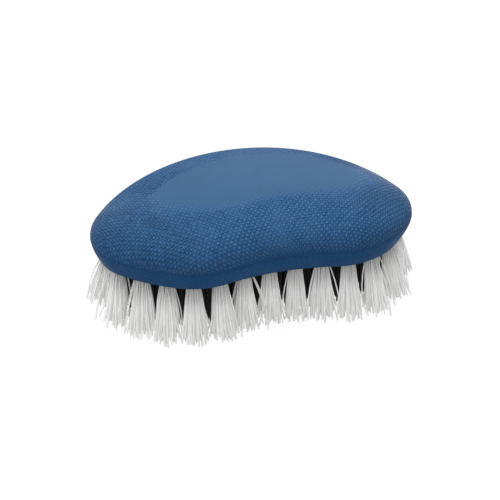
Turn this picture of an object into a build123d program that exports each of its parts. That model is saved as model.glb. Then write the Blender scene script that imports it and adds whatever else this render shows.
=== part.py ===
from build123d import *
import os
from math import cos, exp, hypot, radians, sin, sqrt

# A kidney-shaped palm brush for scrubbing. A soft grip cover lies over a hollow rigid handle
# core. A thick block closes the core from below. It carries a ring of splayed white tufts
# round a ring of black ones, and a bowed row of black ones inside both rings. Each tuft is
# folded over a flat wire anchor in a blind hole.
# Lengths are in millimetres and angles in degrees. The front is the hollow side, towards -Y.
# The block's underside is at zero height until the end, where all pieces are set down
# together on the bristle tips.

# Plan of the body at its widest line: four round lobes, joined by four long arcs
left_end_x = -54.0
left_end_y = -1.0
left_end_radius = 21.5
left_front_x = -30.5
left_front_y = -0.5
left_front_radius = 35.0
right_front_x = 31.0
right_front_y = 1.5
right_front_radius = 36.0
right_end_x = 47.5
right_end_y = -8.5
right_end_radius = 17.0
left_flank_radius = 86.0
waist_radius = 109.0
right_flank_radius = 60.0
back_radius = 77.0

# Block: its outer band leans in towards the underside
band_height = 9.5
band_tuck = 3.5
band_edge_round = 0.8
spigot_height = 2.5
spigot_wall = 2.0
spigot_clearance = 0.5

# Dome over the block, drawn in towards its crown
dome_height = 19.0
crown_x = 6.5
crown_y = -4.0
crease_round = 0.5

# Walls of the grip cover and of the handle core, and the bond between them
cover_wall = 2.2
core_wall = 2.2
bond_gap = 0.1

# Inside of the core: upright ribs, and bosses that take the block's pegs
rib_wall = 1.8
rib_spacing = 27.0
boss_radius = 4.5
peg_radius = 2.2
peg_height = 6.5
peg_clearance = 0.1
left_peg_x = -52.0
left_peg_y = 0.0
right_peg_x = 45.0
right_peg_y = -3.0
back_peg_x = -6.0
back_peg_y = 31.0

# Tufts: free length below the block, blind hole, and how far a tuft fans out at its tips
bristle_length = 25.0
trim_depth = 0.5
hole_radius = 2.6
hole_depth = 7.0
mouth_recess = 0.6
tuft_clearance = 0.1
strand_width = 0.9
root_spread = 1.5
white_tip_spread = 4.6
black_tip_spread = 4.8
strand_root_depth = 1.5

# Flat wire anchors, each at the floor of its hole
anchor_length = 4.4
anchor_height = 1.8
anchor_thickness = 0.4
anchor_clearance = 0.05

# Ring of white tufts: place, pitch and outward lean, which is less at the hollow waist
white_ring_inset = 7.5
white_pitch = 11.3
white_lean = 6.0
waist_lean = 2.5
waist_span = 26.0

# Ring of black tufts behind the white ones, and a bowed row of upright ones inside it
black_ring_inset = 16.5
black_pitch = 11.3
black_lean = 1.5
row_left_x = -43.0
row_right_x = 32.0
row_end_y = 0.5
row_rise = 8.0
row_pitch = 12.8

# What a cut runs past the face that it opens
overrun = 1.0

# Counts and angles
strands_round_tuft = 6
plug_sides = 6
dome_steps = 7
dome_last_angle = 85.0
golden_turn = 137.5

# Shares: how full the dome's side and top are, and the band's height against its tuck
dome_side_share = 1.11
dome_top_share = 0.8
band_height_shares = (0.0, 0.35, 0.7, 1.0)
band_tuck_shares = (1.0, 0.52, 0.16, 0.0)


# Plan of the body

def lobes(inset):
    """Centre and radius of each lobe, in order round the plan from the left end to the right"""
    return [
        (Vector(left_end_x, left_end_y), left_end_radius - inset),
        (Vector(left_front_x, left_front_y), left_front_radius - inset),
        (Vector(right_front_x, right_front_y), right_front_radius - inset),
        (Vector(right_end_x, right_end_y), right_end_radius - inset),
    ]


def links(inset):
    """Radius of the arc that follows each lobe: the hollow waist's is negative"""
    return [
        left_flank_radius - inset,
        -waist_radius - inset,
        right_flank_radius - inset,
        back_radius - inset,
    ]


def link_centre(start, start_radius, end, end_radius, radius):
    """Centre of the arc that touches two lobes"""
    along = (end - start).normalized()
    aside = Vector(-along.Y, along.X)
    span = (end - start).length
    from_start = radius - start_radius
    from_end = radius - end_radius
    run = (span ** 2 + from_start ** 2 - from_end ** 2) / (2 * span)
    rise = sqrt(from_start ** 2 - run ** 2)
    side = 1 if radius > 0 else -1
    return start + along * run + aside * (rise * side)


def arc(centre, radius, start, end):
    """Arc of under half a turn between two points of a circle"""
    middle = centre + ((start - centre) + (end - centre)).normalized() * abs(radius)
    return ThreePointArc(start, middle, end)


def outline(inset=0.0, share=1.0):
    """Closed plan of the body, drawn in by an inset and then towards the crown by a share"""
    crown = Vector(crown_x, crown_y)

    def drawn_in(point):
        return crown + (point - crown) * share

    rounds = lobes(inset)
    radii = links(inset)
    touches = []
    centres = []
    for index, (centre, radius) in enumerate(rounds):
        next_centre, next_radius = rounds[(index + 1) % len(rounds)]
        link = radii[index]
        middle = link_centre(centre, radius, next_centre, next_radius, link)
        leave = centre + (centre - middle) * (radius / (link - radius))
        meet = next_centre + (next_centre - middle) * (next_radius / (link - next_radius))
        centres.append(middle)
        touches.append((leave, meet))
    edges = []
    for index, (centre, radius) in enumerate(rounds):
        arrive = touches[index - 1][1]
        leave, meet = touches[index]
        lobe_points = [drawn_in(point) for point in (centre, arrive, leave)]
        link_points = [drawn_in(point) for point in (centres[index], leave, meet)]
        edges += [arc(lobe_points[0], radius * share, *lobe_points[1:])]
        edges += [arc(link_points[0], radii[index] * share, *link_points[1:])]
    return Wire(edges)


def section(height, inset=0.0, share=1.0):
    """Flat face of the plan at a height"""
    return Pos(0, 0, height) * make_face(outline(inset, share).edges())


# Dome, block, core and cover

def dome(inset, top_drop, smooth=False):
    """Solid dome on the block's shoulder, smaller by an inset all round and a drop on top

    The outside is smooth. Inner walls, which nobody sees, run straight between their sections.
    """
    height = dome_height - top_drop
    sections = []
    for step in range(dome_steps + 1):
        angle = radians(dome_last_angle * step / dome_steps)
        rise = height * sin(angle) ** dome_top_share
        sections.append(section(band_height + rise, inset, cos(angle) ** dome_side_share))
    return loft(sections, ruled=not smooth)


def make_cover():
    """Soft grip cover, with a rounded lower edge that makes the crease over the block"""
    outer = dome(0.0, 0.0, smooth=True)
    outer = fillet(outer.edges().group_by(Axis.Z)[0], crease_round)
    return outer - dome(cover_wall, cover_wall)


def peg_places():
    """Where the block's pegs stand"""
    return [
        Pos(left_peg_x, left_peg_y, band_height),
        Pos(right_peg_x, right_peg_y, band_height),
        Pos(back_peg_x, back_peg_y, band_height),
    ]


def make_core():
    """Hollow rigid shell under the cover, with ribs and peg bosses inside"""
    outer_inset = cover_wall + bond_gap
    inner_inset = outer_inset + core_wall
    cavity = dome(inner_inset, inner_inset)
    rib_foot = band_height + spigot_height + spigot_clearance
    rib_top = band_height + dome_height
    rib_length = 4 * left_front_radius
    rib_box_height = rib_top - rib_foot
    rib_middle = (rib_foot + rib_top) / 2
    long_rib = Pos(0, crown_y, rib_middle) * Box(rib_length, rib_wall, rib_box_height)
    cavity -= long_rib
    for place in (-1, 0, 1):
        cross = Pos(place * rib_spacing, 0, rib_middle) * Box(rib_wall, rib_length, rib_box_height)
        cavity -= cross
    boss_height = dome_height
    for place in peg_places():
        boss = place * Pos(0, 0, boss_height / 2) * Cylinder(boss_radius, boss_height)
        cavity -= boss
    core = dome(outer_inset, outer_inset) - cavity
    socket_depth = peg_height + peg_clearance
    for place in peg_places():
        middle = (socket_depth - overrun) / 2
        core -= place * Pos(0, 0, middle) * Cylinder(peg_radius + peg_clearance, socket_depth + overrun)
    return core


def make_block(tufts):
    """Solid block with its leaning band, spigot, pegs and blind tuft holes"""
    steps = zip(band_height_shares, band_tuck_shares)
    block = loft([section(band_height * up, band_tuck * tuck) for up, tuck in steps])
    block = fillet(block.edges().group_by(Axis.Z)[0], band_edge_round)
    spigot_inset = cover_wall + bond_gap + core_wall + spigot_clearance
    ring = section(band_height, spigot_inset) - section(band_height, spigot_inset + spigot_wall)
    block += extrude(ring, spigot_height)
    for place in peg_places():
        block += place * Pos(0, 0, peg_height / 2) * Cylinder(peg_radius, peg_height)
    holes = [tuft.hole() for tuft in tufts]
    return block - holes


# Tufts

class Tuft:
    """One tuft: where it leaves the block, how it leans, and how far its tips spread"""

    def __init__(self, root, lean, tip_spread, turn):
        self.root = root
        self.lean = lean
        self.tip_spread = tip_spread
        self.turn = turn
        upward = Vector(-lean.X, -lean.Y, bristle_length)
        self.frame = Plane(origin=root, x_dir=self.side(), z_dir=upward)

    def side(self):
        """Level direction of the anchor wire"""
        return Vector(1, 0).rotate(Axis.Z, self.turn)

    def hole(self):
        """Blind hole, from past the block's underside to the hole's floor"""
        tool = extrude(Circle(hole_radius), hole_depth + overrun)
        return self.frame * Pos(0, 0, -overrun) * tool

    def anchor_seat(self, clearance):
        """Space of the anchor wire at the hole's floor, grown by a clearance"""
        width = anchor_length + 2 * clearance
        thickness = anchor_thickness + 2 * clearance
        height = anchor_height + clearance
        middle = hole_depth - height / 2
        return self.frame * Pos(0, 0, middle) * Box(width, thickness, height)

    def anchor(self):
        """Flat wire anchor"""
        return self.anchor_seat(0.0)

    def strand(self, reach, angle):
        """One straight strand, from inside the plug to past the trimmed tips"""
        outward = Vector(1, 0).rotate(Axis.Z, self.turn + angle)
        depth = mouth_recess + strand_root_depth
        start = self.root - self.lean * (depth / bristle_length)
        start += outward * (root_spread * reach) + Vector(0, 0, depth)
        end = self.root + self.lean + outward * (self.tip_spread * reach)
        end -= Vector(0, 0, bristle_length)
        run = end - start
        profile = Pos(*start) * Rot(0, 0, self.turn) * Rectangle(strand_width, strand_width)
        return extrude(profile, run.length * (1 + trim_depth / bristle_length), dir=run)

    def solid(self):
        """Packed plug in the hole and the strands that fan out of it, trimmed level"""
        plug_radius = hole_radius - tuft_clearance
        plug = extrude(RegularPolygon(plug_radius, plug_sides), hole_depth - mouth_recess)
        plug = self.frame * Pos(0, 0, mouth_recess) * plug
        plug -= self.anchor_seat(anchor_clearance)
        turns = [index * 360 / strands_round_tuft for index in range(strands_round_tuft)]
        strands = [self.strand(1, angle) for angle in turns]
        strands.append(self.strand(0, 0))
        bundle = plug + strands
        floor = Pos(0, 0, -bristle_length - overrun) * Box(
            4 * self.tip_spread, 4 * self.tip_spread, 2 * overrun)
        return bundle - Pos(self.root.X + self.lean.X, self.root.Y + self.lean.Y) * floor


def ring_places(path, pitch):
    """Evenly spaced points round a closed path, each with its outward direction"""
    count = round(path.length / pitch)
    middle = path.bounding_box().center()
    places = []
    for index in range(count):
        share = (index + 0.5) / count
        point = path.position_at(share)
        along = path.tangent_at(share)
        outward = Vector(along.Y, -along.X)
        if outward.dot(point - middle) < 0:
            outward = -outward
        places.append((point, outward))
    return places


def white_lean_at(point):
    """How far a white tuft leans out, less beside the waist than round the lobes"""
    front_y = right_front_y - right_front_radius
    waist_x = (left_front_x + right_front_x) / 2
    away = hypot(point.X - waist_x, point.Y - front_y) / waist_span
    return white_lean - (white_lean - waist_lean) * exp(-away ** 2)


def white_tufts():
    """Splayed tufts of the outer ring"""
    places = ring_places(outline(white_ring_inset), white_pitch)
    return [Tuft(point, outward * white_lean_at(point), white_tip_spread, index * golden_turn)
            for index, (point, outward) in enumerate(places)]


def row_places():
    """Evenly spaced points along the bowed row, which doesn't lean"""
    top = ((row_left_x + row_right_x) / 2, row_end_y + row_rise)
    row = ThreePointArc((row_left_x, row_end_y), top, (row_right_x, row_end_y))
    gaps = round(row.length / row_pitch)
    return [(row.position_at(index / gaps), Vector(0, 0)) for index in range(gaps + 1)]


def black_tufts():
    """Nearly upright tufts of the inner ring, and the upright row inside it"""
    places = ring_places(outline(black_ring_inset), black_pitch) + row_places()
    return [Tuft(point, outward * black_lean, black_tip_spread, index * golden_turn)
            for index, (point, outward) in enumerate(places)]


def numbered(name, shapes):
    """Names for a row of like pieces"""
    return {f"{name}_{index:02d}": shape for index, shape in enumerate(shapes, 1)}


# The whole brush, set down on its bristle tips with its origin under the middle of its box

whites = white_tufts()
blacks = black_tufts()
parts = {"grip_cover": make_cover(), "handle_core": make_core()}
parts["bristle_block"] = make_block(whites + blacks)
parts["tuft_anchors"] = Compound([tuft.anchor() for tuft in whites + blacks])
parts |= numbered("white_tuft", [tuft.solid() for tuft in whites])
parts |= numbered("black_tuft", [tuft.solid() for tuft in blacks])

box = Compound(list(parts.values())).bounding_box()
middle = box.center()
to_origin = Pos(-middle.X, -middle.Y, -box.min.Z)
os.makedirs("parts", exist_ok=True)
for node, shape in parts.items():
    placed = to_origin * shape
    placed.label = node
    export_step(placed, f"parts/{node}.step")
print(len(whites), "white tufts and", len(blacks), "black tufts")
print("overall size", box.size)
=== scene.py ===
"""A kidney-shaped palm brush: a dimpled soft grip over a block with a ring of splayed white
tufts round black ones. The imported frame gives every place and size; this file gives the looks.
"""

import logging
import math
from dataclasses import dataclass
from enum import Enum
from typing import Any, Callable, Iterable, Sequence, Union

import bpy
import numpy as np
from mathutils import Matrix, Vector


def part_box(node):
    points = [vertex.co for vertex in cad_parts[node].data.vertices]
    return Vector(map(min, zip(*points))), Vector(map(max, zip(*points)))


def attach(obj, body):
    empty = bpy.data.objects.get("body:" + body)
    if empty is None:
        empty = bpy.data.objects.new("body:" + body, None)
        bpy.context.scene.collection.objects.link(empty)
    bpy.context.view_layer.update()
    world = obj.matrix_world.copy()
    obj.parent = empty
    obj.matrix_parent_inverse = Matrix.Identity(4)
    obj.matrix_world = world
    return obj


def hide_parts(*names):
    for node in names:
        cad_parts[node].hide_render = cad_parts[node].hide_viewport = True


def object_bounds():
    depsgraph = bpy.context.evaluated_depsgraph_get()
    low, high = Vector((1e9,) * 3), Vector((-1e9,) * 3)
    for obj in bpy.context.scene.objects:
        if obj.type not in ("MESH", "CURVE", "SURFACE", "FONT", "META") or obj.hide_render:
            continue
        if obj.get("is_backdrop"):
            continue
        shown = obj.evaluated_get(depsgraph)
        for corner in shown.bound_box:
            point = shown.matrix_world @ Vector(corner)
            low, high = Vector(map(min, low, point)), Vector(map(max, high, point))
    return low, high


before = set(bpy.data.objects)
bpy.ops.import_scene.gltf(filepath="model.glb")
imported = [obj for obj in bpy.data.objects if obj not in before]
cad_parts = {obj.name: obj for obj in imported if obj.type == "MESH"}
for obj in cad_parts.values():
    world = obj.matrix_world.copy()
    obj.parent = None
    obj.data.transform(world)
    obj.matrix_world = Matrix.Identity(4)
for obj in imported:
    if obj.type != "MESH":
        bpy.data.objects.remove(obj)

LOG = logging.getLogger("palm_brush")
MM = 0.001
ROOT_BODY = "root"
SPARE_SHARE = 0.025
VECTOR = "FLOAT_VECTOR"
WHITE_LIGHT = (1.0, 1.0, 1.0, 1.0)
NO_LIGHT = (0.0, 0.0, 0.0, 1.0)
NOISE_RANGE = (0.3, 0.7)
NOISE_SWING = 4.0
FULL_TURN = 6.28
GOLDEN_TURN = 2.39996
LEVEL_SWAY = ((-1.0, -1.0, 0.0), (1.0, 1.0, 0.0))

Array = np.ndarray
Material = bpy.types.Material
Mesh = bpy.types.Mesh
Piece = bpy.types.Object
Socket = bpy.types.NodeSocket
Tree = bpy.types.NodeTree
Pair = tuple[float, float]
Colour = tuple[float, float, float, float]
Inputs = dict[str, tuple[str, Any]]
Value = Union["Term", float, int, bool, str, Sequence[float], Material, None]
Values = dict[Union[str, int], Value]


def paint(*shown: int) -> Colour:
    """Turns a colour as it shows on a screen into the linear colour that a shader takes.

    Args:
        *shown: Red, green and blue from 0 to 255.

    Returns:
        The linear colour with full alpha.
    """
    shares = [channel / 255 for channel in shown]
    linear = [c / 12.92 if c <= 0.04045 else ((c + 0.055) / 1.055) ** 2.4 for c in shares]
    return (*linear, 1.0)


# Node trees

class Term:
    """A value in a node tree that can stand in a formula, where each operator adds a node."""

    def __init__(self, graph: "Graph", socket: Socket) -> None:
        """Keeps the graph and the output socket that gives the value."""
        self.graph, self.socket = graph, socket

    def __add__(self, other: Value) -> "Term":
        """The sum of both."""
        return self.graph.formed("ADD", self, other)

    def __sub__(self, other: Value) -> "Term":
        """This one less the other."""
        return self.graph.formed("SUBTRACT", self, other)

    def __rsub__(self, other: Value) -> "Term":
        """A plain number less this one."""
        return self.graph.formed("SUBTRACT", other, self)

    def __mul__(self, other: Value) -> "Term":
        """The product of both, or this vector scaled."""
        return self.graph.formed("MULTIPLY", self, other)

    def __rmul__(self, other: Value) -> "Term":
        """A plain vector scaled by this number."""
        return self.graph.formed("MULTIPLY", other, self)

    def __truediv__(self, other: Value) -> "Term":
        """This one divided by the other."""
        return self.graph.formed("DIVIDE", self, other)

    def __rtruediv__(self, other: Value) -> "Term":
        """A plain number divided by this one."""
        return self.graph.formed("DIVIDE", other, self)


Terms = dict[str, Term]


def is_wide(value: Value) -> bool:
    """Whether a value is a vector or a colour."""
    return value.socket.type in ("VECTOR", "RGBA") if isinstance(value, Term) else isinstance(value, tuple)


class Graph:
    """Adds nodes to one tree and links them."""

    def __init__(self, tree: Tree) -> None:
        """Keeps the tree that the nodes go into."""
        self.tree = tree

    def node(self, kind: str, inputs: Union[Values, None] = None, **settings: Any) -> Terms:
        """Adds one node.

        Args:
            kind: The node's type name.
            inputs: Values for its input sockets in use, by name or number.
            **settings: Properties of the node, such as its operation or data type.

        Returns:
            Its outputs in use, by name.
        """
        made = self.tree.nodes.new(kind)
        for name, value in settings.items():
            setattr(made, name, value)
        for key, value in (inputs or {}).items():
            socket = made.inputs[key] if isinstance(key, int) else next(
                s for s in made.inputs if s.name == key and s.enabled)
            if isinstance(value, Term):
                self.tree.links.new(value.socket, socket)
            elif value is not None:
                socket.default_value = value
        return {s.name: Term(self, s) for s in made.outputs if s.enabled}

    def value(self, kind: str, inputs: Union[Values, None] = None, **settings: Any) -> Term:
        """Adds one node and gives its first output in use."""
        return next(iter(self.node(kind, inputs, **settings).values()))

    def maths(self, operation: str, *values: Value) -> Term:
        """One maths node on up to three numbers."""
        return self.value("ShaderNodeMath", dict(enumerate(values)), operation=operation)

    def vector(self, operation: str, *values: Value) -> Term:
        """One maths node on up to three vectors."""
        return self.value("ShaderNodeVectorMath", dict(enumerate(values)), operation=operation)

    def formed(self, operation: str, first: Value, second: Value) -> Term:
        """One operation on two numbers or two vectors, or a vector scaled by a number.

        Args:
            operation: ADD, SUBTRACT, MULTIPLY or DIVIDE.
            first: The first value, and the vector where only one is.
            second: The second value.

        Returns:
            The result.
        """
        wide = [is_wide(first), is_wide(second)]
        if all(wide):
            return self.vector(operation, first, second)
        if any(wide):
            return self.value("ShaderNodeVectorMath", {0: first, "Scale": second}, operation="SCALE")
        return self.maths(operation, first, second)

    def parts(self, value: Value) -> tuple[Term, ...]:
        """The X, Y and Z of a vector."""
        return tuple(self.node("ShaderNodeSeparateXYZ", {"Vector": value}).values())

    def joined(self, x: Value, y: Value, z: Value) -> Term:
        """A vector from its three parts."""
        return self.value("ShaderNodeCombineXYZ", {"X": x, "Y": y, "Z": z})

    def blend(self, share: Value, first: Value, second: Value, kind: str = "RGBA") -> Term:
        """A mix of two colours or two numbers."""
        return self.value("ShaderNodeMix", {"Factor": share, "A": first, "B": second}, data_type=kind)

    def spread(self, value: Value, low: Value, high: Value, to_low: Value = 0.0, to_high: Value = 1.0,
               smooth: bool = False) -> Term:
        """A value moved from one range to another and held inside it."""
        return self.value(
            "ShaderNodeMapRange",
            {"Value": value, "From Min": low, "From Max": high, "To Min": to_low, "To Max": to_high},
            interpolation_type="SMOOTHSTEP" if smooth else "LINEAR")

    def mottled(self, noise: Value, low: Value, high: Value) -> Term:
        """Noise moved to a range, from the middle band that it mostly keeps to."""
        return self.spread(noise, *NOISE_RANGE, low, high)

    def noise(self, place: Value, size: Value, detail: float = 2.0, rough: float = 0.5,
              output: str = "Fac") -> Term:
        """Soft noise from 0 to 1 whose patches are about that size, in metres."""
        scale = self.maths("DIVIDE", 1.0, size)
        inputs = {"Vector": place, "Scale": scale, "Detail": detail, "Roughness": rough}
        return self.node("ShaderNodeTexNoise", inputs)[output]

    def place(self) -> Term:
        """The point on the piece, in metres, as a shader reads it."""
        return self.node("ShaderNodeTexCoord")["Object"]

    def attribute(self, name: str, output: str = "Fac") -> Term:
        """A named attribute of the piece, as a shader reads it."""
        return self.node("ShaderNodeAttribute", attribute_name=name)[output]

    def bumped(self, height: Value) -> Term:
        """The normal that a height in metres gives."""
        return self.value("ShaderNodeBump", {"Strength": 1.0, "Distance": 1.0, "Height": height})

    def stored(self, name: str, kind: str = "FLOAT") -> Term:
        """A named attribute of the piece, as Geometry Nodes read it."""
        return self.value("GeometryNodeInputNamedAttribute", {"Name": name}, data_type=kind)

    def store(self, geometry: Value, name: str, value: Value, kind: str = "FLOAT") -> Term:
        """Stores a value on every point under a name."""
        inputs = {"Geometry": geometry, "Name": name, "Value": value}
        return self.value("GeometryNodeStoreNamedAttribute", inputs, data_type=kind)

    def chance(self, low: Value, high: Value, seed: Term, turn: int, kind: str = "FLOAT") -> Term:
        """A random value for each point, the same on each run."""
        inputs = {"Min": low, "Max": high, "Seed": seed + float(turn)}
        return self.value("FunctionNodeRandomValue", inputs, data_type=kind)

    def close(self, results: Inputs) -> Tree:
        """Ends a node group.

        Args:
            results: Socket kind and value of each output, by name.

        Returns:
            The finished tree.
        """
        for label, (kind, _) in results.items():
            self.tree.interface.new_socket(label, in_out="OUTPUT", socket_type="NodeSocket" + kind)
        self.node("NodeGroupOutput", {label: value for label, (_, value) in results.items()})
        return self.tree


def open_group(name: str, kind: str, inputs: Inputs) -> tuple[Graph, Terms]:
    """Begins a node group.

    Args:
        name: The group's name.
        kind: Shader or Geometry.
        inputs: Socket kind and starting value of each input, by name.

    Returns:
        The graph, and the values that the group is given, by name.
    """
    tree = bpy.data.node_groups.new(name, f"{kind}NodeTree")
    for label, (socket_kind, start) in inputs.items():
        socket = tree.interface.new_socket(label, in_out="INPUT", socket_type="NodeSocket" + socket_kind)
        if start is not None:
            socket.default_value = start
    graph = Graph(tree)
    return graph, graph.node("NodeGroupInput")


def emptied(holder: Union[Material, bpy.types.World]) -> Graph:
    """Clears the nodes of a material or a world.

    Args:
        holder: The material or the world.

    Returns:
        Its empty graph.
    """
    holder.use_nodes = True
    holder.node_tree.nodes.clear()
    return Graph(holder.node_tree)


# Shared shader effects

def woven_grain_group() -> Tree:
    """Builds the grip's grain: nubs on a square lattice, set at an angle and a little uneven.

    Returns:
        A group with the grain's height, about -1 to 1, and a mask of its nubs.
    """
    graph, given = open_group("woven_grain", "Shader", {
        "Place": ("Vector", None), "Pitch": ("Float", 1.8 * MM), "Turn": ("Float", 0.75),
        "Waver": ("Float", 0.22 * MM), "Uneven": ("Float", 0.5), "Crumb": ("Float", 0.14),
        "Crossed": ("Float", 0.4)})
    place, pitch = given["Place"], given["Pitch"]
    waver_patch, own_patch, crumb_patch = (pitch * share for share in (1 / 0.7, 1.1, 0.38))
    pit, top = -0.6, 0.65
    drift = graph.noise(place, waver_patch, rough=0.6, output="Color") - (0.5, 0.5, 0.5)
    across, along, _ = graph.parts(place + drift * (given["Waver"] * NOISE_SWING))
    cosine, sine = graph.maths("COSINE", given["Turn"]), graph.maths("SINE", given["Turn"])
    first, second = across * cosine + along * sine, along * cosine - across * sine
    round_once = 2 * math.pi / pitch
    one, other = (graph.maths("COSINE", part * round_once) for part in (first, second))
    nub = graph.blend(given["Crossed"], (one + other) * 0.5, one * other, "FLOAT")
    own = graph.mottled(graph.noise(place, own_patch, 1.0), 1.0 - given["Uneven"], 1.0)
    crumb = (graph.noise(place, crumb_patch, rough=0.6) - 0.5) * (given["Crumb"] * NOISE_SWING)
    height = nub * own + crumb
    # the nub mask, which the finishes use for painted highlight on the nubs and painted shade in the pits
    nubs = graph.spread(height, pit, top, smooth=True)
    return graph.close({"Height": ("Float", height), "Nubs": ("Float", nubs)})


def fine_skin_group() -> Tree:
    """Builds the faint unevenness of moulded skin: slow patches and fine specks.

    Returns:
        A group with a height and a shade, both about 0.5.
    """
    graph, given = open_group("fine_skin", "Shader", {
        "Place": ("Vector", None), "Patch": ("Float", 9 * MM), "Speck": ("Float", 0.35 * MM)})
    slow = graph.noise(given["Place"], given["Patch"], 3.0)
    fine = graph.noise(given["Place"], given["Speck"], rough=0.6)
    slow_shares = {"Height": 0.35, "Shade": 0.55}
    return graph.close({
        name: ("Float", graph.blend(share, fine, slow, "FLOAT")) for name, share in slow_shares.items()})


# Finishes

@dataclass(frozen=True)
class Finish:
    """What every finish has: the record's slot, which names its material too, and its gloss."""

    slot: str
    roughness: float
    gloss: float

    def inputs(self, graph: Graph) -> Values:
        """What the shader takes besides the plain roughness and gloss, by input name."""
        raise NotImplementedError

    def material(self) -> Material:
        """Builds the material, which is one shader.

        Returns:
            The material.
        """
        material = bpy.data.materials.new(self.slot)
        graph = emptied(material)
        inputs = {"Roughness": self.roughness, "Specular IOR Level": self.gloss, **self.inputs(graph)}
        shader = graph.value("ShaderNodeBsdfPrincipled", inputs)
        graph.node("ShaderNodeOutputMaterial", {"Surface": shader})
        return material


@dataclass(frozen=True)
class GripRubber(Finish):
    """Blue rubber with nubs, bare and smoother where the palm lies; nubs, pits, low wall and back carry
    painted light and shade.
    """

    grain: Tree
    skin: Tree
    # the nub colour carries painted highlight on the nub tops, the pit colour painted shade in the pits
    nub_colour_and_painted_highlight: Colour
    pit_colour_and_painted_shade: Colour
    bare_colour: Colour
    bare_roughness: float
    # low colour and low shade: painted shade towards the bottom of the cover
    low_colour_painted_shade: Colour
    pitch: float
    turn: float
    depth: float
    painted_low_shade: float
    # back shade: painted shade over the back edge
    painted_back_shade: float
    dull_roughness: float = 0.62
    patch_size: float = 15 * MM
    patch_noise: Pair = (0.35, 0.65)
    patch_strengths: Pair = (0.6, 1.15)
    crease_reach: Pair = (0.2, 0.8)
    contrast: float = 0.07
    skin_depth: float = 0.03 * MM

    def inputs(self, graph: Graph) -> Values:
        """Lays the grain out by the cover's own attributes.

        Args:
            graph: The material's graph.

        Returns:
            What the shader takes, by input name.
        """
        laid = graph.attribute("laid_flat", "Vector")
        low, back = graph.attribute("low"), graph.attribute("back")
        patchy = graph.spread(graph.noise(laid, self.patch_size), *self.patch_noise, *self.patch_strengths)
        strength = graph.attribute("grain") * patchy
        weave = {"Place": laid, "Pitch": self.pitch, "Turn": self.turn}
        grain = graph.node("ShaderNodeGroup", weave, node_tree=self.grain)
        skin = graph.node("ShaderNodeGroup", {"Place": graph.place()}, node_tree=self.skin)
        # painted highlight on the nub tops and painted shade in the pits between them
        woven = graph.blend(grain["Nubs"], self.pit_colour_and_painted_shade, self.nub_colour_and_painted_highlight)
        # painted shade on the nubs towards the bottom, where the wall turns down
        woven = graph.blend(low, woven, woven * self.painted_low_shade)
        # painted shade: the bare ground darkens towards the crease, to the band's tone
        ground = graph.blend(graph.spread(low, *self.crease_reach), self.bare_colour, self.low_colour_painted_shade)
        colour = graph.blend(strength, ground, woven)
        # painted shade over the back edge
        colour = graph.blend(back, colour, colour * self.painted_back_shade)
        shade = graph.mottled(skin["Shade"], 1 - self.contrast, 1 + self.contrast)
        rough = graph.blend(strength, self.bare_roughness, self.roughness, "FLOAT")
        rough = graph.blend(graph.maths("MAXIMUM", back, low), rough, self.dull_roughness, "FLOAT")
        height = grain["Height"] * strength * self.depth + skin["Height"] * self.skin_depth
        return {"Base Color": colour * shade, "Roughness": rough, "Normal": graph.bumped(height)}


@dataclass(frozen=True)
class MouldedPlastic(Finish):
    """Satin moulded plastic with a faint mottle, and the grip's grain where it has one, with painted
    highlight on its nubs and painted shade in its pits.
    """

    skin: Tree
    colour: Colour
    contrast: float
    depth: float
    grain: Union[Tree, None] = None
    grain_depth: float = 0.0
    grain_top: float = 0.0
    grain_fade: Pair = (9.0 * MM, 1.0 * MM)
    # nub shades: painted shade in the pits and painted highlight on the nubs
    painted_nub_light_and_shade: Pair = (0.94, 1.12)
    rough_swing: float = 0.06

    def faint_grain(self, graph: Graph) -> tuple[Term, Term]:
        """Carries the cover's grain faintly down a wall, by laying the wall out flat round its foot.

        Args:
            graph: The material's graph.

        Returns:
            The grain's height in metres and the mask of its nubs.
        """
        across, along, up = graph.parts(graph.place())
        level = graph.joined(across, along, 0.0)
        below = self.grain_top - up
        laid = level + graph.vector("NORMALIZE", level) * below
        grain = graph.node("ShaderNodeGroup", {"Place": laid}, node_tree=self.grain)
        fade = graph.spread(below, *self.grain_fade, smooth=True)
        return grain["Height"] * fade * self.grain_depth, grain["Nubs"] * fade

    def inputs(self, graph: Graph) -> Values:
        """Mottles the plastic, and carries the grain down it where it has one.

        Args:
            graph: The material's graph.

        Returns:
            What the shader takes, by input name.
        """
        skin = graph.node("ShaderNodeGroup", {"Place": graph.place()}, node_tree=self.skin)
        shade = graph.mottled(skin["Shade"], 1 - self.contrast, 1 + self.contrast)
        height = skin["Height"] * self.depth
        if self.grain is not None:
            raised, nubs = self.faint_grain(graph)
            height = height + raised
            # painted highlight on the nubs and painted shade in the pits, carried down the band
            shade = shade * graph.spread(nubs, 0.0, 1.0, *self.painted_nub_light_and_shade)
        dull, bright = self.roughness + self.rough_swing, self.roughness - self.rough_swing
        return {
            "Base Color": self.colour[:3] * shade, "Roughness": graph.mottled(skin["Shade"], dull, bright),
            "Normal": graph.bumped(height)}


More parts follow.
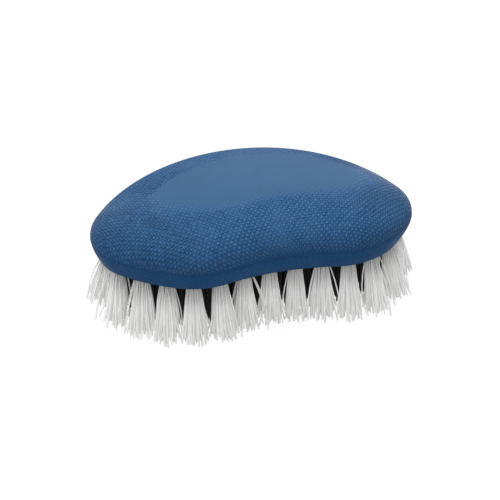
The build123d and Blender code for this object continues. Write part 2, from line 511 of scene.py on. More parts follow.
@dataclass(frozen=True)
class FilamentNylon(Finish):
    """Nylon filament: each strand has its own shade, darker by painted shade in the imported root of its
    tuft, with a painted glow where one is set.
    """

    root_colour_and_painted_shade: Colour
    tip_colour: Colour
    strand_contrast: float
    glow_through: float = 0.0
    # painted glow: emission strength on the strands
    painted_glow_strength: float = 0.0
    glow_depth: float = 1.0 * MM
    root_share: float = 0.55
    streak_size: float = 1.6 * MM
    streak_shade: float = 0.97

    def inputs(self, graph: Graph) -> Values:
        """Shades each strand by its own attributes: its shade, and how far along it a point is.

        Args:
            graph: The material's graph.

        Returns:
            What the shader takes, by input name.
        """
        # painted shade towards the root, where the block overhangs the tuft
        climb = graph.spread(graph.attribute("along"), 0.0, self.root_share, smooth=True)
        colour = graph.blend(climb, self.root_colour_and_painted_shade, self.tip_colour)
        own = graph.spread(graph.attribute("shade"), 0.0, 1.0, 1 - self.strand_contrast, 1.0)
        streak = graph.mottled(graph.noise(graph.place(), self.streak_size), self.streak_shade, 1.0)
        inputs = {
            "Base Color": colour * (own * streak), "Subsurface Weight": self.glow_through,
            "Subsurface Radius": WHITE_LIGHT[:3], "Subsurface Scale": self.glow_depth}
        # painted glow: emission on the strands, none at the root and full at the tip, in place of light let
        # through them
        if self.painted_glow_strength > 0.0:
            inputs["Emission Strength"] = self.painted_glow_strength
            inputs["Emission Color"] = graph.blend(climb, NO_LIGHT, self.tip_colour)
        return inputs


@dataclass(frozen=True)
class DrawnWire(Finish):
    """Drawn steel wire with fine lines along it."""

    colour: Colour
    line_size: float = 0.2 * MM
    line_stretch: float = 0.1
    line_shade: float = 0.75
    line_roughness: float = 0.1

    def inputs(self, graph: Graph) -> Values:
        """Draws fine lines along the wire.

        Args:
            graph: The material's graph.

        Returns:
            What the shader takes, by input name.
        """
        stretch = {"Vector": graph.place(), "Scale": (1.0, 1.0, self.line_stretch)}
        lines = graph.noise(graph.value("ShaderNodeMapping", stretch), self.line_size, 3.0)
        return {
            "Base Color": self.colour[:3] * graph.mottled(lines, self.line_shade, 1.0), "Metallic": 1.0,
            "Roughness": graph.mottled(lines, self.roughness + self.line_roughness, self.roughness)}


# Plan of the body

@dataclass(frozen=True)
class Lobe:
    """One round lobe of the plan, in millimetres."""

    x: float
    y: float
    radius: float


@dataclass(frozen=True)
class BodyPlan:
    """The kidney-shaped plan: four lobes joined by arcs, the waist's one hollow."""

    lobes: tuple[Lobe, ...] = (
        Lobe(-54.0, -1.0, 21.5), Lobe(-30.5, -0.5, 35.0), Lobe(31.0, 1.5, 36.0), Lobe(47.5, -8.5, 17.0))
    links: tuple[float, ...] = (86.0, -109.0, 60.0, 77.0)
    crown: Pair = (6.5, -4.0)
    arc_steps: int = 400
    gauge_steps: int = 720

    def arcs(self) -> list[tuple[Array, float, Array, Array]]:
        """The plan's arcs in order, each as its centre, signed radius, start and end.

        Returns:
            Eight arcs, a lobe and its link in turn.
        """
        rounds = [(np.array([lobe.x, lobe.y]), lobe.radius) for lobe in self.lobes]
        touches = []
        for index, (centre, radius) in enumerate(rounds):
            next_centre, next_radius = rounds[(index + 1) % len(rounds)]
            link = self.links[index]
            span = float(np.linalg.norm(next_centre - centre))
            ahead = (next_centre - centre) / span
            aside = np.array([-ahead[1], ahead[0]])
            run = (span ** 2 + (link - radius) ** 2 - (link - next_radius) ** 2) / (2 * span)
            rise = math.sqrt((link - radius) ** 2 - run ** 2)
            middle = centre + ahead * run + aside * rise * math.copysign(1.0, link)
            leave = centre + (centre - middle) * (radius / (link - radius))
            meet = next_centre + (next_centre - middle) * (next_radius / (link - next_radius))
            touches.append((middle, link, leave, meet))
        made = []
        for index, (centre, radius) in enumerate(rounds):
            made.append((centre, radius, touches[index - 1][3], touches[index][2]))
            made.append(touches[index])
        return made

    def rim(self, count: int) -> tuple[Array, Array]:
        """Evenly spaced points round the plan with their outward directions.

        Args:
            count: How many points.

        Returns:
            The points and the outward directions, each count by 2.
        """
        dense, lengths, done = [], [], 0.0
        for centre, radius, start, end in self.arcs():
            first = math.atan2(*(start - centre)[::-1])
            sweep = (math.atan2(*(end - centre)[::-1]) - first + math.pi) % (2 * math.pi) - math.pi
            steps = np.linspace(0.0, 1.0, self.arc_steps, endpoint=False)
            angles = first + sweep * steps
            outward = np.stack([np.cos(angles), np.sin(angles)], axis=1)
            dense.append(np.hstack([centre + outward * abs(radius), outward * math.copysign(1.0, radius)]))
            lengths.append(done + steps * abs(sweep * radius))
            done += abs(sweep * radius)
        table = np.concatenate([*dense, dense[0][:1]])
        along = np.append(np.concatenate(lengths), done)
        wanted = np.arange(count) * done / count
        found = np.stack([np.interp(wanted, along, column) for column in table.T], axis=1)
        outward = found[:, 2:]
        return found[:, :2], outward / np.linalg.norm(outward, axis=1, keepdims=True)

    def gauge(self, points: Array) -> Array:
        """How far out points lie, as shares of the way to the plan's edge.

        Args:
            points: Points in the plan.

        Returns:
            A share for each, 0 at the crown and 1 on the edge.
        """
        arms = self.rim(self.gauge_steps)[0] - np.array(self.crown)
        angles = np.arctan2(arms[:, 1], arms[:, 0])
        order = np.argsort(angles)
        reach = np.linalg.norm(arms, axis=1)[order]
        here = points - np.array(self.crown)
        turns = np.arctan2(here[:, 1], here[:, 0])
        return np.linalg.norm(here, axis=1) / np.interp(turns, angles[order], reach, period=2 * math.pi)


@dataclass(frozen=True)
class Seat:
    """Where the plan lies in the frame: its origin, at the height of the block's underside."""

    origin: Vector

    @classmethod
    def from_frame(cls, plan: BodyPlan, steps: int = 4000) -> "Seat":
        """Finds the plan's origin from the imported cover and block.

        Args:
            plan: The plan.
            steps: How many points of its edge are measured.

        Returns:
            The seat.
        """
        low_x, low_y = plan.rim(steps)[0].min(axis=0) * MM
        cover_low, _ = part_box("grip_cover")
        block_low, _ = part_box("bristle_block")
        return cls(Vector((cover_low.x - low_x, cover_low.y - low_y, block_low.z)))


# Pieces

def named(holder: Any, kind: str, unit: float, *fields: str) -> Inputs:
    """Fields as inputs of a tree under the same names: root_depth gives Root Depth."""
    return {field.replace("_", " ").title(): (kind, getattr(holder, field) * unit) for field in fields}


def grown(name: str, seeds: Mesh, inputs: Inputs, spare: Iterable[str],
          grow: Callable[[Graph, Terms], Term]) -> Piece:
    """Grows a piece with Geometry Nodes, and keeps what they make as a plain mesh.

    Args:
        name: The piece's name.
        seeds: The mesh that the tree starts from.
        inputs: Kind and value of each of the tree's inputs, by name.
        spare: Attributes that only the tree needs.
        grow: Adds the nodes that make the piece's form.

    Returns:
        The piece, smooth and in its material, with no modifier left on it.
    """
    graph, given = open_group(name, "Geometry", {"Geometry": ("Geometry", None), **inputs})
    form = {"Geometry": grow(graph, given), "Shade Smooth": True}
    whole = graph.value(
        "GeometryNodeRealizeInstances", {"Geometry": graph.value("GeometryNodeSetShadeSmooth", form)})
    dressed = graph.value("GeometryNodeSetMaterial", {"Geometry": whole, "Material": given["Finish"]})
    tree = graph.close({"Geometry": ("Geometry", dressed)})
    piece = bpy.data.objects.new(name, seeds)
    bpy.context.scene.collection.objects.link(piece)
    modifier = piece.modifiers.new(name, "NODES")
    modifier.node_group = tree
    for item in tree.interface.items_tree:
        if item.item_type == "SOCKET" and item.in_out == "INPUT" and item.name in inputs:
            modifier[item.identifier] = inputs[item.name][1]
    depsgraph = bpy.context.evaluated_depsgraph_get()
    mesh = bpy.data.meshes.new_from_object(
        piece.evaluated_get(depsgraph), preserve_all_data_layers=True, depsgraph=depsgraph)
    mesh.name = name
    for attribute in spare:
        if attribute in mesh.attributes:
            mesh.attributes.remove(mesh.attributes[attribute])
    piece.modifiers.clear()
    piece.data = mesh
    return piece


def settle(piece: Piece, finish: Finish, nodes: Iterable[str]) -> None:
    """Sets a finished piece on the root body.

    Args:
        piece: The piece.
        finish: Its finish, which is not used.
        nodes: The CAD nodes that it stands for.
    """
    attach(piece, ROOT_BODY)
    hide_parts(*nodes)
    LOG.info("%s: %d faces", piece.name, len(piece.data.polygons))


def store(mesh: Mesh, name: str, values: Array) -> None:
    """Stores a value for each point of a mesh.

    Args:
        mesh: The mesh.
        name: The attribute's name.
        values: One number or one vector for each point.
    """
    flat = values.ndim == 1
    layer = mesh.attributes.new(name, "FLOAT" if flat else VECTOR, "POINT")
    layer.data.foreach_set("value" if flat else "vector", values.astype(np.float32).ravel())


def ramp(values: Array, start: float, end: Union[float, Array]) -> Array:
    """Shares that go from 0 at the start to 1 at the end, and stay there."""
    return np.clip((values - start) / (end - start), 0.0, 1.0)


def soft(share: Array) -> Array:
    """Shares eased at both ends."""
    return share * share * (3 - 2 * share)


@dataclass
class GripCover:
    """The soft cover: a dome drawn in from the plan's edge to the crown, with a closed inner wall.

    Lengths are in millimetres. The last fields say where the grain is bare, calm or strong.
    """

    plan: BodyPlan
    seat: Seat
    finish: GripRubber
    base_height: float = 9.5
    dome_height: float = 18.94
    side_share: float = 1.11
    top_share: float = 0.8
    wall: float = 2.2
    edge_round: float = 0.2
    edge_steps: int = 4
    columns: int = 640
    rows: int = 92
    inner_rows: int = 10
    mean_reach: float = 42.0
    climb_steps: int = 4000
    laid_steps: int = 600
    bend_x: float = 5.0
    bend_radius: float = 220.0
    patch_centre: Pair = (5.1, 7.5)
    patch_share: Pair = (0.628, 0.456)
    patch_edge: float = 0.98
    patch_fade: float = 0.1
    front_pull: float = 0.1
    front_fade: float = 0.36
    front_y: Pair = (11.5, -0.5)
    crease_height: float = 0.8
    crease_fade: float = 1.6
    waist_fade: float = 1.5
    waist_x: float = 1.0
    waist_width: float = 16.0
    right_fade: float = 0.5
    right_x: Pair = (25.0, 50.0)
    end_x: float = -50.0
    end_boost: float = 0.9
    right_boost: float = 0.6
    low_calm: float = 0.25
    low_height: float = 10.5
    back_calm: float = 0.35
    calm_y: Pair = (8.0, 26.0)
    calm_x: Pair = (12.0, -33.0)
    back_shares: Pair = (0.45, 0.85)
    back_y: Pair = (8.0, 22.0)

    def heights(self, climbs: Array) -> Array:
        """How high over the dome's foot each climb is."""
        return self.dome_height * np.sin(climbs) ** self.top_share

    def climbs(self, count: int) -> Array:
        """Spaces rows evenly from the edge to the crown.

        Args:
            count: How many rows.

        Returns:
            The angle of each row.
        """
        fine = np.linspace(0.0, math.pi / 2, self.climb_steps)
        out = self.mean_reach * np.cos(fine) ** self.side_share
        along = np.concatenate([[0.0], np.cumsum(np.hypot(np.diff(out), np.diff(self.heights(fine))))])
        return np.interp(np.linspace(0.0, along[-1], count + 1), along, fine)[:-1]

    def flat_places(self, rim: Array, climbs: Array) -> Array:
        """Finds each dome point's place in the plan.

        Args:
            rim: The plan's edge.
            climbs: The angle of each row.

        Returns:
            The places, row by row.
        """
        crown = np.array(self.plan.crown)
        share = np.maximum(np.cos(climbs), 0.0) ** self.side_share
        return (crown + (rim - crown)[None, :, :] * share[:, None, None]).reshape(-1, 2)

    def laid_flat(self, rim: Array, climbs: Array) -> Array:
        """Lays the dome flat from its crown and straightens its bend.

        Args:
            rim: The plan's edge.
            climbs: The angle of each row.

        Returns:
            Each point's place there, in metres, row by row.
        """
        crown = np.array(self.plan.crown)
        arms = rim - crown
        reach = np.linalg.norm(arms, axis=1)
        fine = np.linspace(0.0, math.pi / 2, self.laid_steps)
        out, up = np.cos(fine) ** self.side_share, self.heights(fine)
        steps = np.hypot(np.diff(out)[:, None] * reach[None, :], np.diff(up)[:, None])
        from_edge = np.vstack([np.zeros(len(reach)), np.cumsum(steps, axis=0)])
        left = from_edge[-1][None, :] - from_edge
        spot = np.stack([np.interp(climbs, fine, left[:, column]) for column in range(len(reach))], axis=1)
        flat = (crown + arms[None, :, :] / reach[None, :, None] * spot[:, :, None]).reshape(-1, 2)
        ahead, aside = flat[:, 0] - self.bend_x, flat[:, 1] - crown[1] + self.bend_radius
        turned = np.arctan2(ahead, aside) * self.bend_radius
        offset = np.hypot(ahead, aside) - self.bend_radius
        return np.stack([turned, offset, np.zeros(len(flat))], axis=1) * MM

    def grain_strength(self, rim: Array, climbs: Array) -> Array:
        """How strongly the nubs stand up: not in the bare palm patch, and less by the crease.

        Args:
            rim: The plan's edge.
            climbs: The angle of each row.

        Returns:
            A strength for each point, row by row, 1 where nothing changes it.
        """
        centre = np.array(self.patch_centre)
        places = self.flat_places(rim, climbs)
        x, y = places[:, 0], places[:, 1]
        height = np.repeat(self.heights(climbs), len(rim))
        inside = self.plan.gauge(centre + (places - centre) / np.array(self.patch_share))
        front = ramp(y, *self.front_y)
        edge = self.patch_edge - self.front_pull * front
        bare = ramp(inside, edge, edge + self.patch_fade + self.front_fade * front)
        waist = np.exp(-((x - self.waist_x) / self.waist_width) ** 2) * (y < 0)
        fade = self.crease_fade + self.waist_fade * waist + self.right_fade * ramp(x, *self.right_x)
        low = ramp(height, self.crease_height, self.crease_height + fade)
        calm = 1.0 - self.low_calm * ramp(height, self.low_height, 0.0)
        back = 1.0 - self.back_calm * ramp(y, *self.calm_y) * ramp(x, *self.calm_x)
        boost = 1.0 + self.end_boost * ramp(x, 0.0, self.end_x)
        boost += self.right_boost * ramp(x, 0.0, -self.end_x) ** 2
        return soft(bare) * soft(low) * calm * back * boost

    def grow(self, graph: Graph, given: Terms) -> Term:
        """Lifts the rim's rows into the dome.

        Args:
            graph: The tree's graph.
            given: The tree's inputs.

        Returns:
            The dome.
        """
        climb = graph.stored("climb")
        drawn, risen = (
            graph.maths("POWER", graph.maths("MAXIMUM", graph.maths(turn, climb), 0.0), given[share])
            for turn, share in (("COSINE", "Side Share"), ("SINE", "Top Share")))
        edge = graph.stored("rim", VECTOR) - graph.stored("outward", VECTOR) * graph.stored("inset")
        place = given["Crown"] + (edge - given["Crown"]) * drawn
        tall = given["Dome Height"] - graph.stored("wall")
        height = risen * tall + (graph.stored("lift") + given["Base Height"])
        lifted = place + graph.joined(0.0, 0.0, height)
        return graph.value("GeometryNodeSetPosition", {"Geometry": given["Geometry"], "Position": lifted})

    def row_table(self) -> tuple[Array, int]:
        """The rows from the inner crown down, round the lower edge and up to the outer crown.

        Returns:
            Each row's climb, inset, lift and wall, and how many rows of the outer side end them.
        """
        inner = [(climb, self.wall, 0.0, self.wall) for climb in self.climbs(self.inner_rows)[::-1]]
        turns = np.linspace(0.0, math.pi / 2, self.edge_steps, endpoint=False)
        edge = [(0.0, self.edge_round * (1 - math.sin(turn)), self.edge_round * (1 - math.cos(turn)), 0.0)
                for turn in turns]
        outer = self.climbs(self.rows)
        outer = [(climb, 0.0, 0.0, 0.0) for climb in outer[self.heights(outer) > self.edge_round]]
        return np.array(inner + edge + outer), len(outer)

    def faces(self, count: int) -> list[list[int]]:
        """Joins the rows by quads, and closes both crowns by fans.

        Args:
            count: How many rows there are.

        Returns:
            The faces by their points' numbers, where the two crowns come last.
        """
        columns = np.arange(self.columns)
        following = (columns + 1) % self.columns
        low = np.arange(count - 1)[:, None] * self.columns
        high = low + self.columns
        quads = np.stack([low + columns, low + following, high + following, high + columns], axis=2)
        total, top = count * self.columns, (count - 1) * self.columns
        inner = np.stack([np.full(self.columns, total), following, columns], axis=1)
        outer = np.stack([np.full(self.columns, total + 1), top + columns, top + following], axis=1)
        return quads.reshape(-1, 4).tolist() + inner.tolist() + outer.tolist()

    def seeds(self) -> Mesh:
        """Builds the flat grid of rows and columns.

        Returns:
            The grid, with what the tree needs on each point.
        """
        rim, outward = self.plan.rim(self.columns)
        rows, outer_count = self.row_table()
        count, climbs = len(rows), rows[:, 0]
        table = np.repeat(rows, self.columns, axis=0)
        level = np.zeros((len(table), 1))
        points = np.hstack([np.tile(rim, (count, 1)), level]) * MM
        facing = np.hstack([np.tile(outward, (count, 1)), level])
        crowns = np.array([[*self.plan.crown, 0.0]] * 2) * MM
        walls, nothing = [self.wall * MM, 0.0], [0.0, 0.0]
        strength = self.grain_strength(rim, climbs)
        strength[:(count - outer_count) * self.columns] = 0.0
        # back: the mask for the painted shade over the back edge, and for duller roughness there
        back = ramp(self.plan.gauge(self.flat_places(rim, climbs)), *self.back_shares)
        back = back * ramp(np.tile(rim[:, 1], count), *self.back_y)
        # low: the mask for the painted shade towards the bottom, and for duller roughness there
        low = ramp(self.heights(table[:, 0]), self.low_height, 0.0)
        mesh = bpy.data.meshes.new("grip_cover_rows")
        mesh.from_pydata(np.vstack([points, crowns]).tolist(), [], self.faces(count))
        for name, values, at_crowns in (
                ("rim", points, crowns), ("outward", facing, np.zeros((2, 3))),
                ("climb", table[:, 0], [math.pi / 2] * 2), ("inset", table[:, 1] * MM, walls),
                ("lift", table[:, 2] * MM, nothing), ("wall", table[:, 3] * MM, walls),
                ("grain", strength, nothing), ("laid_flat", self.laid_flat(rim, climbs), crowns),
                ("back", back, nothing), ("low", low, nothing)):
            store(mesh, name, np.concatenate([values, at_crowns]))
        return mesh

    def build(self) -> None:
        """Builds the cover, dresses it and sets it in place of its CAD node."""
        inputs = {
            "Crown": ("Vector", (self.plan.crown[0] * MM, self.plan.crown[1] * MM, 0.0)),
            **named(self, "Float", MM, "base_height", "dome_height"),
            **named(self, "Float", 1, "side_share", "top_share"),
            "Finish": ("Material", self.finish.material())}
        spare = ("rim", "outward", "climb", "inset", "lift", "wall")
        piece = grown("dimpled_grip_cover", self.seeds(), inputs, spare, self.grow)
        piece.data.transform(Matrix.Translation(self.seat.origin))
        settle(piece, self.finish, ["grip_cover"])


class TuftColour(Enum):
    """The two colours of tuft, by the start of their CAD nodes' names."""

    WHITE = "white_tuft_"
    BLACK = "black_tuft_"


@dataclass
class Tufts:
    """All tufts of one colour: loose strands that fan out of their holes.

    Lengths are in millimetres, except the underside's height and the limit.
    """

    colour: TuftColour
    finish: FilamentNylon
    underside: float
    limit: Pair
    strands: int = 85
    strand_radius: float = 0.33
    root_radius: float = 2.6
    tip_radius: float = 5.6
    scatter: float = 0.7
    ragged: float = 3.0
    stray_share: float = 0.28
    stray_reach: float = 4.4
    wave: float = 0.28
    flare: float = 1.0
    root_depth: float = 1.2
    steps: int = 6
    sides: int = 4
    seed: int = 5
    extra_lean: Pair = (0.0, 0.0)
    limit_ease: float = 1.6
    root_slice: float = 1.6
    tip_slice: float = 0.02

    def leaned(self, roots: Array, tips: Array) -> Array:
        """Leans the tips further than the CAD ones, by its own amount along and across the brush.

        Args:
            roots: The tufts' roots.
            tips: The middles of their tips.

        Returns:
            The tips' new places.
        """
        lean = (tips - roots) * np.array([1.0, 1.0, 0.0])
        length = np.linalg.norm(lean, axis=1, keepdims=True)
        share = length / length.max()
        return tips + lean / np.maximum(length, 1e-9) * share ** 2 * np.array([*self.extra_lean, 0.0]) * MM

    def eased(self, graph: Graph, value: Term, limit: Term) -> Term:
        """Holds a coordinate inside plus and minus a limit, bending off softly before it.

        Args:
            graph: The tree's graph.
            value: The coordinate.
            limit: The limit, in metres.

        Returns:
            The coordinate, never past the limit.
        """
        ease = self.limit_ease * MM
        size, free = graph.maths("ABSOLUTE", value), limit - ease
        over = graph.maths("MAXIMUM", size - free, 0.0)
        kept = 1.0 - graph.maths("EXPONENT", over / -ease)
        return (graph.maths("MINIMUM", size, free) + kept * ease) * graph.maths("SIGN", value)

    def places(self) -> tuple[list[str], Array, Array]:
        """Reads each tuft's root and tip from its CAD node.

        Returns:
            The nodes' names, the roots at the block's underside and the middles of the tips.
        """
        names = sorted(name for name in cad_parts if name.startswith(self.colour.value))
        roots, tips = [], []
        for name in names:
            corners = np.array([v.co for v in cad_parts[name].data.vertices])
            corners = np.unique(np.round(corners, 6), axis=0)
            up = corners[:, 2]
            high = corners[up > up.max() - self.root_slice * MM].mean(axis=0)
            low = corners[up < up.min() + self.tip_slice * MM].mean(axis=0)
            share = (self.underside - low[2]) / (high[2] - low[2])
            roots.append(low + (high - low) * share)
            tips.append(low)
        return names, np.array(roots), np.array(tips)

    def strand_ends(self, graph: Graph, given: Terms, index: Term) -> tuple[tuple[str, Term, str], ...]:
        """Places both ends of each strand.

        Args:
            graph: The tree's graph.
            given: The tree's inputs.
            index: The strand's number in its tuft.

        Returns:
            Name, value and kind of what each strand keeps: its start, end, swing and shade.
        """
        seed = given["Seed"]
        reach = graph.maths("SQRT", (index + 0.5) / given["Strands"])
        angle = index * GOLDEN_TURN + graph.stored("tuft_turn")
        spot = graph.joined(graph.maths("COSINE", angle), graph.maths("SINE", angle), 0.0) * reach
        root, tip = graph.stored("root", VECTOR), graph.stored("tip", VECTOR)
        run = tip - root
        depth = given["Root Depth"] / graph.vector("LENGTH", run)
        start = root + spot * given["Root Radius"] - run * depth
        stray = graph.maths("LESS_THAN", graph.chance(0.0, 1.0, seed, 2), given["Stray Share"])
        loose = stray * given["Stray Reach"] + 1.0
        jitter = graph.chance(*LEVEL_SWAY, seed, 3, VECTOR) * (given["Scatter"] * loose)
        short = graph.maths("POWER", graph.chance(0.0, 1.0, seed, 4), 2.0) * given["Ragged"]
        end = tip + spot * given["Tip Radius"] + jitter + graph.joined(0.0, 0.0, short)
        far, near, high = graph.parts(end)
        limit_x, limit_y, _ = graph.parts(given["Limit"])
        high = graph.maths("MAXIMUM", high, given["Strand Radius"] * 0.5)
        end = graph.joined(self.eased(graph, far, limit_x), self.eased(graph, near, limit_y), high)
        swing = graph.chance(*LEVEL_SWAY, seed, 5, VECTOR) * (given["Wave"] * loose)
        shade = graph.chance(0.0, 1.0, seed, 6)
        return (("start", start, VECTOR), ("end", end, VECTOR), ("swing", swing, VECTOR),
                ("shade", shade, "FLOAT"))

    def grow(self, graph: Graph, given: Terms) -> Term:
        """Grows each tuft's strands from its root to its tips.

        Args:
            graph: The tree's graph.
            given: The tree's inputs.

        Returns:
            The strands.
        """
        dots = graph.value("GeometryNodeMeshToPoints", {"Mesh": given["Geometry"]})
        dots = graph.store(dots, "tuft_turn", graph.chance(0.0, FULL_TURN, given["Seed"], 1))
        amount = {"Geometry": dots, "Amount": given["Strands"]}
        points, index = graph.node("GeometryNodeDuplicateElements", amount, domain="POINT").values()
        for name, value, kind in self.strand_ends(graph, given, index):
            points = graph.store(points, name, value, kind)
        line = {"Curve": graph.value("GeometryNodeCurvePrimitiveLine"), "Count": given["Steps"]}
        line = graph.value("GeometryNodeResampleCurve", line)
        lines = graph.value("GeometryNodeInstanceOnPoints", {"Points": points, "Instance": line})
        lines = graph.value("GeometryNodeRealizeInstances", {"Geometry": lines})
        along = graph.node("GeometryNodeSplineParameter")["Factor"]
        flared = graph.maths("POWER", along, given["Flare"])
        start = graph.stored("start", VECTOR)
        moved = (graph.stored("end", VECTOR) - start) * graph.joined(flared, flared, along)
        bowed = graph.stored("swing", VECTOR) * graph.maths("SINE", along * math.pi)
        place = {"Geometry": lines, "Position": start + (moved + bowed)}
        curves = graph.store(graph.value("GeometryNodeSetPosition", place), "along", along)
        profile = {"Resolution": given["Sides"], "Radius": given["Strand Radius"]}
        profile = graph.value("GeometryNodeCurvePrimitiveCircle", profile)
        return graph.value(
            "GeometryNodeCurveToMesh", {"Curve": curves, "Profile Curve": profile, "Fill Caps": True})

    def build(self) -> None:
        """Grows the tufts, dresses them and sets them in place of their CAD nodes."""
        names, roots, tips = self.places()
        mesh = bpy.data.meshes.new(f"{self.colour.value}roots")
        mesh.from_pydata(roots.tolist(), [], [])
        store(mesh, "root", roots)
        store(mesh, "tip", self.leaned(roots, tips))
        inputs = {
            **named(self, "Float", MM, "strand_radius", "root_radius", "tip_radius", "scatter", "ragged",
                    "wave", "root_depth"),
            **named(self, "Float", 1, "stray_share", "stray_reach", "flare"),
            **named(self, "Int", 1, "strands", "steps", "sides", "seed"),
            "Limit": ("Vector", (*self.limit, 1.0)), "Finish": ("Material", self.finish.material())}
        spare = ("root", "tip", "tuft_turn", "start", "end", "swing")
        piece = grown(f"{self.colour.value}strands", mesh, inputs, spare, self.grow)
        settle(piece, self.finish, names)


def dress_node(name: str, finish: Union[MouldedPlastic, DrawnWire]) -> None:
    """Gives a CAD node that stays its own material.

    Args:
        name: The node's name.
        finish: The finish that makes the material.
    """
    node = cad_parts[name]
    node.data.materials.clear()
    node.data.materials.append(finish.material())
    LOG.info("%s: dressed", name)


# Stage

@dataclass(frozen=True)
class Lamp:
    """One square soft lamp, placed from the brush's middle, in metres and watts."""

    name: str
    size: float
    power: float
    offset: tuple[float, float, float]
    behind: float = 0.0
    aside: float = 0.0


@dataclass
class Studio:
    """Camera, lamps and a white floor, at the photograph's viewing angle."""

    seat: Seat
    azimuth: float = -14.17
    elevation: float = 36.87
    distance: float = 700.0
    lens: float = 114.95
    aim_right: float = -5.32
    aim_up: float = -7.19
    lamps: tuple[Lamp, ...] = (
        Lamp("overhead", 0.36, 2.6, (0.0, 0.0, 0.9), behind=0.1),
        Lamp("behind", 0.45, 1.0, (0.0, 0.0, 0.62), behind=0.75, aside=0.15),
        Lamp("left", 0.2, 1.45, (-0.585, 0.036, 0.684)),
        Lamp("right", 0.35, 0.6, (0.576, 0.396, 0.567)),
        Lamp("front", 1.0, 0.9, (0.0, 0.0, 0.3), behind=-0.9, aside=-0.2))
    surround: float = 0.6
    floor_reach: float = 4.0
    floor_drop: float = 0.02
    floor_colour: Colour = paint(216, 216, 216)
    kept_shadow: float = 0.15
    shadow_level: float = 0.75

    def axes(self) -> tuple[Vector, Vector, Vector]:
        """Finds the view's directions.

        Returns:
            The directions to the camera, to its right and up.
        """
        turn, tilt = math.radians(self.azimuth), math.radians(self.elevation)
        back = Vector((math.sin(turn) * math.cos(tilt), -math.cos(turn) * math.cos(tilt), math.sin(tilt)))
        right = Vector((math.cos(turn), math.sin(turn), 0.0))
        return back, right, back.cross(right)

    def aimed(self, data: Union[bpy.types.Camera, bpy.types.Light], place: Vector, target: Vector) -> Piece:
        """Adds a camera or a lamp that looks at a point.

        Args:
            data: The camera or the light.
            place: Where it stands.
            target: What it looks at.

        Returns:
            The object.
        """
        made = bpy.data.objects.new(data.name, data)
        made.location = place
        made.rotation_mode = "QUATERNION"
        made.rotation_quaternion = (target - place).to_track_quat("-Z", "Y")
        bpy.context.scene.collection.objects.link(made)
        return made

    def camera(self) -> None:
        """Sets up the scene's camera."""
        back, right, up = self.axes()
        data = bpy.data.cameras.new("camera")
        data.lens = self.lens
        data.sensor_width = 36.0
        data.clip_start, data.clip_end = 0.01, 20.0
        middle = self.seat.origin
        target = middle + (right * self.aim_right + up * self.aim_up) * MM
        bpy.context.scene.camera = self.aimed(data, middle + back * (self.distance * MM), target)

    def light(self) -> None:
        """Sets up the lamps."""
        back, right, _ = self.axes()
        away = Vector((-back.x, -back.y, 0.0)).normalized()
        middle = self.seat.origin
        for lamp in self.lamps:
            data = bpy.data.lights.new(lamp.name, "AREA")
            data.size, data.energy = lamp.size, lamp.power
            place = middle + Vector(lamp.offset) + away * lamp.behind + right * lamp.aside
            self.aimed(data, place, middle)

    def seen_white(self, graph: Graph) -> Term:
        """Tells the rays that show the background: straight to the camera, mirrored or let through.

        Args:
            graph: The graph of the world or the floor.

        Returns:
            1 for those rays and 0 for others.
        """
        path = graph.node("ShaderNodeLightPath")
        seen = graph.maths("MAXIMUM", path["Is Camera Ray"], path["Is Glossy Ray"])
        return graph.maths("MAXIMUM", seen, path["Is Transmission Ray"])

    def world(self) -> None:
        """Sets a plain white surround, white to the camera and softer as light."""
        world = bpy.data.worlds.new("surround")
        graph = emptied(world)
        level = graph.blend(self.seen_white(graph), self.surround, 1.0, "FLOAT")
        light = graph.value("ShaderNodeBackground", {"Color": WHITE_LIGHT, "Strength": level})
        graph.node("ShaderNodeOutputWorld", {"Surface": light})
        bpy.context.scene.world = world

    def floor(self) -> None:
        """Lays the floor: white to the camera, with a share of the object's shadow left on it."""
        mesh = bpy.data.meshes.new("floor")
        far = self.floor_reach
        corners = [(-far, -far, 0.0), (far, -far, 0.0), (far, far, 0.0), (-far, far, 0.0)]
        mesh.from_pydata(corners, [], [(0, 1, 2, 3)])
        floor = bpy.data.objects.new("floor", mesh)
        floor.location.z = -self.floor_drop * MM
        material = bpy.data.materials.new("floor_paper")
        graph = emptied(material)
        paper = graph.value("ShaderNodeBsdfDiffuse", {"Color": self.floor_colour})
        lit = graph.value("ShaderNodeBsdfDiffuse", {"Color": (self.kept_shadow,) * 3 + (1.0,)})
        glow = graph.value("ShaderNodeEmission", {
            "Color": WHITE_LIGHT, "Strength": 1.0 - self.shadow_level * self.kept_shadow})
        shown = graph.value("ShaderNodeAddShader", {0: lit, 1: glow})
        choice = graph.value("ShaderNodeMixShader", {"Fac": self.seen_white(graph), 1: paper, 2: shown})
        graph.node("ShaderNodeOutputMaterial", {"Surface": choice})
        mesh.materials.append(material)
        bpy.context.scene.collection.objects.link(floor)
        floor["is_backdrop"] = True

    def build(self) -> None:
        """Sets up the whole stage."""
        self.camera()
        self.light()
        self.world()
        self.floor()
        bpy.context.scene.view_settings.view_transform = "Standard"


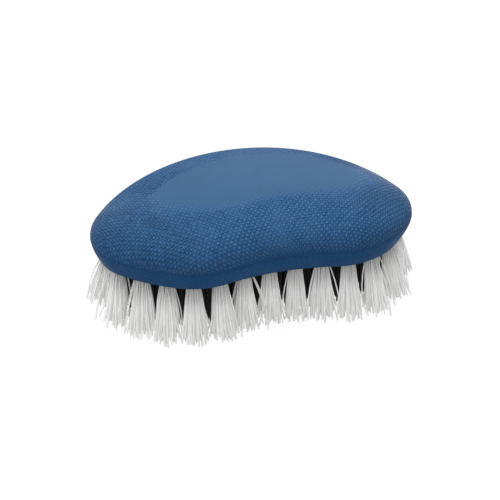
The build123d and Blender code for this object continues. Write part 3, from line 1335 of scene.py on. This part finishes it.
def main() -> None:
    """Builds the brush and its stage."""
    logging.basicConfig(level=logging.INFO, format="%(name)s: %(message)s")
    cad_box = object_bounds()
    plan = BodyPlan()
    seat = Seat.from_frame(plan)
    grain, skin = woven_grain_group(), fine_skin_group()
    rubber = GripRubber(
        slot="grip_rubber", roughness=0.27, gloss=0.1, grain=grain, skin=skin,
        nub_colour_and_painted_highlight=paint(66, 122, 176), pit_colour_and_painted_shade=paint(22, 66, 111), bare_colour=paint(57, 96, 135),
        bare_roughness=0.45, low_colour_painted_shade=paint(22, 64, 105), pitch=1.76 * MM, turn=math.radians(45),
        depth=0.66 * MM, painted_low_shade=0.62, painted_back_shade=0.9)
    cover = GripCover(plan, seat, rubber)
    block = MouldedPlastic(
        slot="block_plastic", roughness=0.5, gloss=0.04, skin=skin, colour=paint(25, 70, 112),
        contrast=0.08, depth=0.03 * MM, grain=grain, grain_depth=0.16 * MM,
        grain_top=seat.origin.z + cover.base_height * MM)
    core = MouldedPlastic(
        slot="core_plastic", roughness=0.45, gloss=0.4, skin=skin, colour=paint(60, 66, 74),
        contrast=0.08, depth=0.02 * MM)
    wire = DrawnWire(slot="anchor_wire", roughness=0.3, gloss=0.5, colour=paint(196, 192, 184))
    white = FilamentNylon(
        slot="white_filament", roughness=0.4, gloss=0.4, root_colour_and_painted_shade=paint(206, 205, 203),
        tip_colour=paint(250, 250, 249), strand_contrast=0.16, glow_through=0.5, painted_glow_strength=0.11)
    black = FilamentNylon(
        slot="black_filament", roughness=0.38, gloss=0.35, root_colour_and_painted_shade=paint(20, 20, 21),
        tip_colour=paint(34, 34, 36), strand_contrast=0.4)
    cover.build()
    low, high = cad_box
    limit = tuple((high[axis] - low[axis]) * (0.5 + SPARE_SHARE) for axis in (0, 1))
    Tufts(TuftColour.WHITE, white, seat.origin.z, limit, extra_lean=(-1.5, 2.6)).build()
    Tufts(TuftColour.BLACK, black, seat.origin.z, limit, strands=90, tip_radius=6.2, flare=0.7, seed=17,
          root_radius=2.4, strand_radius=0.3, ragged=2.6, stray_share=0.08).build()
    for name, finish in (("bristle_block", block), ("handle_core", core), ("tuft_anchors", wire)):
        dress_node(name, finish)
    Studio(seat).build()


if __name__ == "__main__":
    main()
